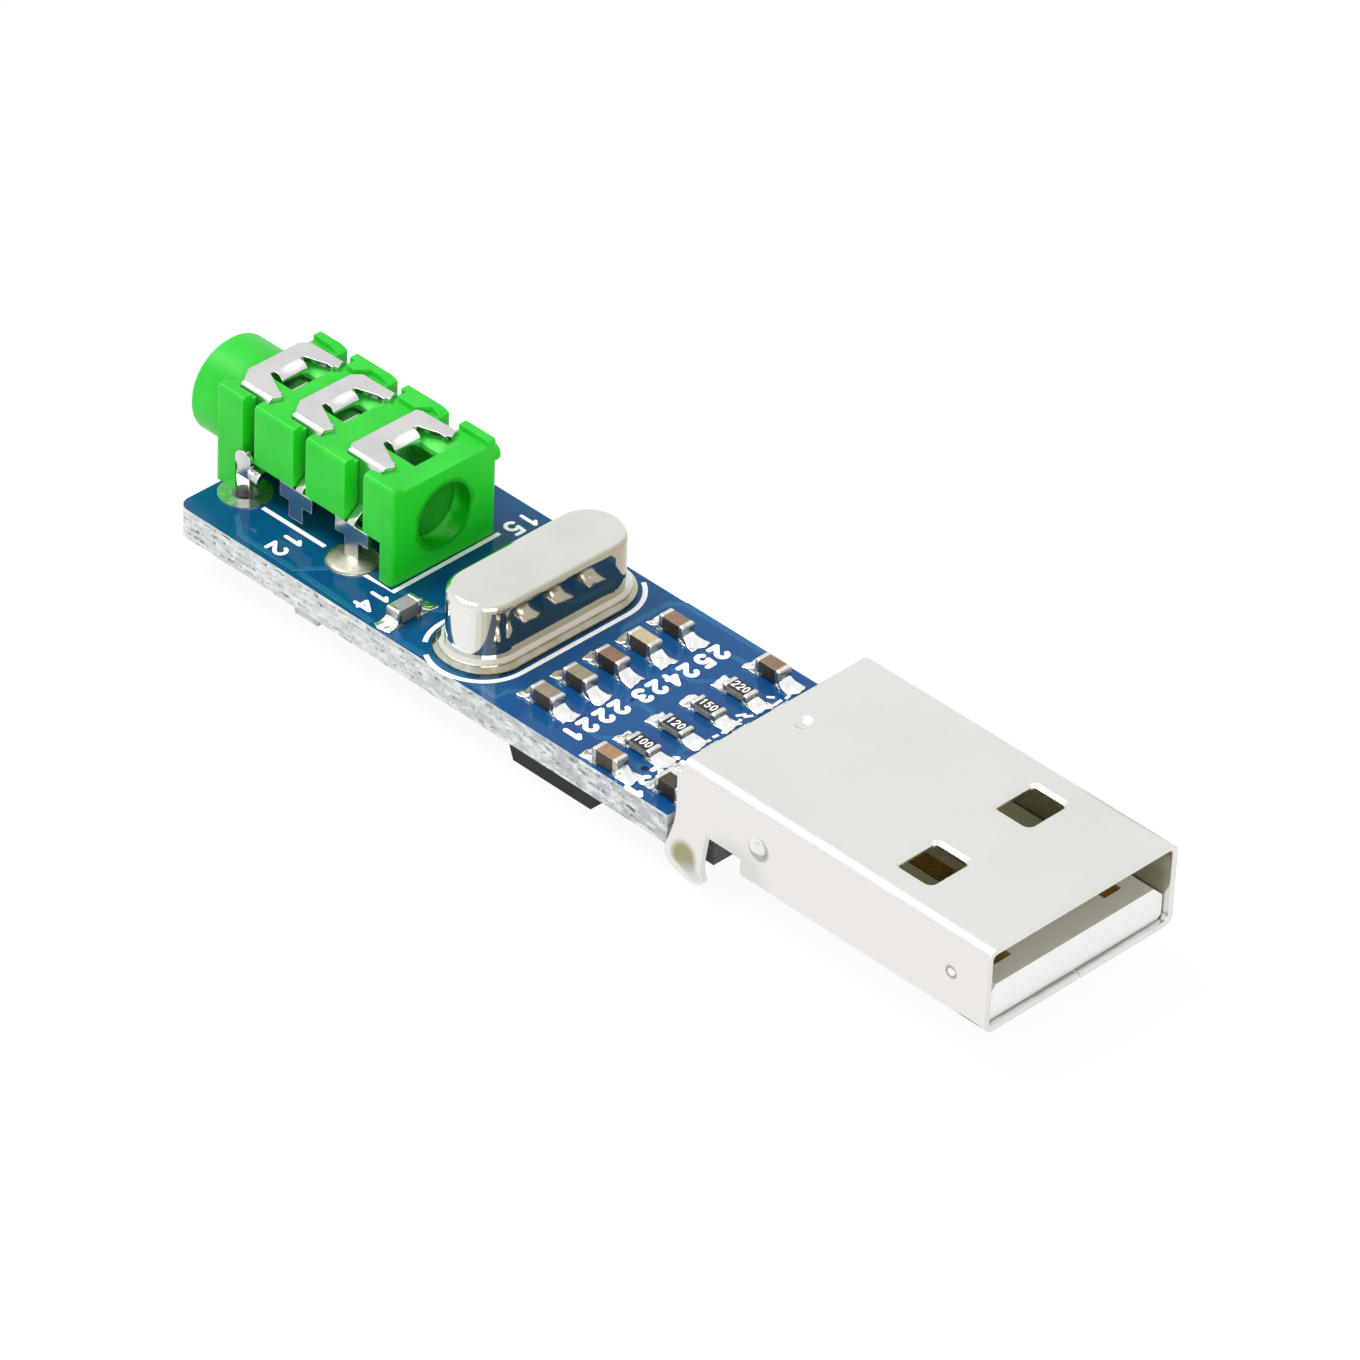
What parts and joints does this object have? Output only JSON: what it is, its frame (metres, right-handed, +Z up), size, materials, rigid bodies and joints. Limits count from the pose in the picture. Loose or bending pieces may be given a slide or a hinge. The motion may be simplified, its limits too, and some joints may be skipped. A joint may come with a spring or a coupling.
{
  "type": "usb dac board",
  "caption": "Bare sound adapter board: blue circuit board with a green audio jack at one end, a folded metal plug at the other, a flat-can crystal and small chip parts.",
  "frame": {"origin": "under the middle of the part, at the level of the chip's face that it rests on", "axes": "+X from the jack's barrel to the plug's mouth, +Y across the board, +Z up from the chip under the board to the jack on top"},
  "size_m": [0.0548, 0.0126, 0.0089],
  "materials": {
    "board_laminate": "blue solder mask over glass fibre laminate",
    "jack_plastic": "moulded green plastic, satin gloss",
    "contact_metal": "tin-plated spring strip",
    "crystal_metal": "nickel-plated drawn can",
    "lead_metal": "tinned leads",
    "shell_metal": "nickel-plated folded sheet, satin",
    "white_plastic": "white moulded plastic",
    "pin_gold": "gold-plated strip",
    "chip_plastic": "black moulded epoxy",
    "under_part_ceramic": "grey ceramic",
    "end_metal": "tinned end caps",
    "pad_metal": "tinned copper pads",
    "solder": "bright solder",
    "capacitor_ceramic": "brown fired ceramic",
    "resistor_glaze": "black glaze"
  },
  "bodies": {
    "root": {"pcb": "board_laminate", "jack_housing": "jack_plastic", "jack_contact_front": "contact_metal", "jack_contact_middle": "contact_metal", "jack_contact_rear": "contact_metal", "crystal_can": "crystal_metal", "crystal_base": "crystal_metal", "crystal_leads": "lead_metal", "usb_shell": "shell_metal", "usb_insulator": "white_plastic", "chip_body": "chip_plastic", "chip_leads": "lead_metal", "under_part_body": "under_part_ceramic", "under_part_ends": "end_metal", "pads_top": "pad_metal", "pads_bottom": "pad_metal", "solder_top": "solder", "solder_bottom": "solder", "usb_pin_1": "pin_gold", "resistor_1_body": "resistor_glaze", "resistor_1_ends": "end_metal", "usb_pin_2": "pin_gold", "resistor_2_body": "resistor_glaze", "resistor_2_ends": "end_metal", "usb_pin_3": "pin_gold", "resistor_3_body": "resistor_glaze", "resistor_3_ends": "end_metal", "usb_pin_4": "pin_gold", "resistor_4_body": "resistor_glaze", "resistor_4_ends": "end_metal", "capacitor_1_body": "capacitor_ceramic", "capacitor_1_ends": "end_metal", "capacitor_2_body": "capacitor_ceramic", "capacitor_2_ends": "end_metal", "capacitor_3_body": "capacitor_ceramic", "capacitor_3_ends": "end_metal", "capacitor_4_body": "capacitor_ceramic", "capacitor_4_ends": "end_metal", "capacitor_5_body": "capacitor_ceramic", "capacitor_5_ends": "end_metal", "capacitor_6_body": "capacitor_ceramic", "capacitor_6_ends": "end_metal", "capacitor_7_body": "capacitor_ceramic", "capacitor_7_ends": "end_metal", "capacitor_8_body": "capacitor_ceramic", "capacitor_8_ends": "end_metal", "capacitor_9_body": "capacitor_ceramic", "capacitor_9_ends": "end_metal", "capacitor_10_body": "capacitor_ceramic", "capacitor_10_ends": "end_metal"}
  },
  "joints": []
}
